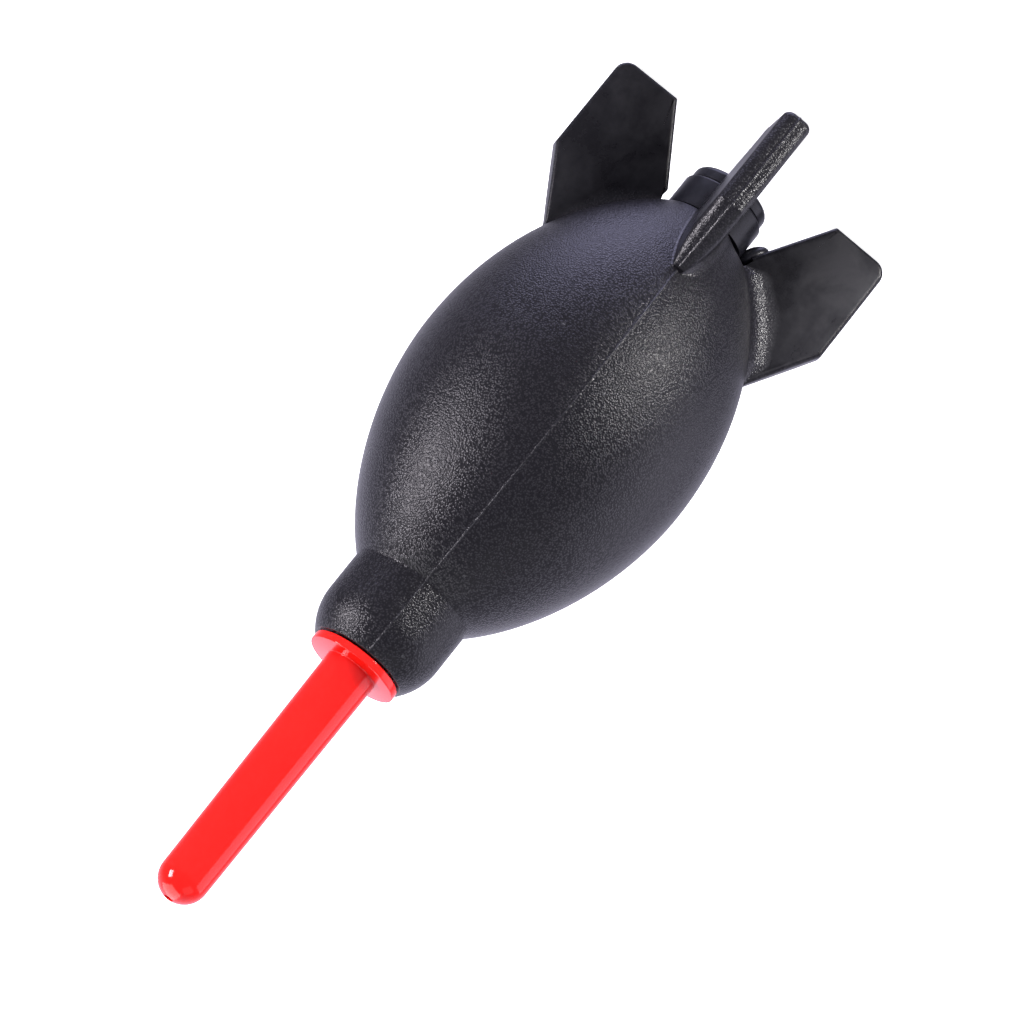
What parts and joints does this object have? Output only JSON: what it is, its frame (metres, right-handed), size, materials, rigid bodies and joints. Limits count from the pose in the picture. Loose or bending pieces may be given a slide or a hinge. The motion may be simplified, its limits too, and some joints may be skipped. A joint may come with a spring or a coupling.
{
  "type": "dust blower bulb",
  "caption": "Rocket-shaped rubber squeeze bulb on four tail fins that blows dust away through a long round-tipped nozzle, with a one-way intake valve in its tail.",
  "frame": {"origin": "centre of the plane that the four fin feet stand on, on the blower's own axis", "axes": "+Z along the blower's axis from the feet to the nozzle's tip; the fins lie along +X, +Y, -X and -Y"},
  "size_m": [0.0674, 0.0674, 0.1902],
  "materials": {
    "bulb_rubber": "satin, moulded with a fine pebble grain; fin faces smooth",
    "nozzle_plastic": "glossy injection-moulded red",
    "valve_plastic": "satin black",
    "disc_silicone": "satin",
    "filter_felt": "pressed white felt"
  },
  "bodies": {
    "root": {"bulb_shell": "bulb_rubber", "fin_right": "bulb_rubber", "fin_back": "bulb_rubber", "fin_left": "bulb_rubber", "fin_front": "bulb_rubber", "end_cap": "valve_plastic", "intake_filter": "filter_felt", "valve_housing": "valve_plastic", "valve_cage": "valve_plastic"},
    "wall_left": {"squeeze_wall_left": "bulb_rubber"},
    "wall_right": {"squeeze_wall_right": "bulb_rubber"},
    "nozzle": {"nozzle": "nozzle_plastic"},
    "disc": {"valve_disc": "disc_silicone"}
  },
  "joints": [
    {"name": "squeeze_left", "type": "slide", "parent": "root", "child": "wall_left", "axis": [1, 0, 0], "range_m": [0, 0.015], "stiffness_N_per_m": 1200},
    {"name": "squeeze_right", "type": "slide", "parent": "root", "child": "wall_right", "axis": [-1, 0, 0], "range_m": [0, 0.015], "stiffness_N_per_m": 1200},
    {"name": "nozzle_pull_out", "type": "slide", "parent": "root", "child": "nozzle", "axis": [0, 0, 1], "range_m": [0, 0.02]},
    {"name": "valve_disc_lift", "type": "slide", "parent": "root", "child": "disc", "axis": [0, 0, 1], "range_m": [0, 0.0012]}
  ],
  "couplings": [
    {"joint": "squeeze_right", "follows": "squeeze_left", "ratio": 1}
  ]
}
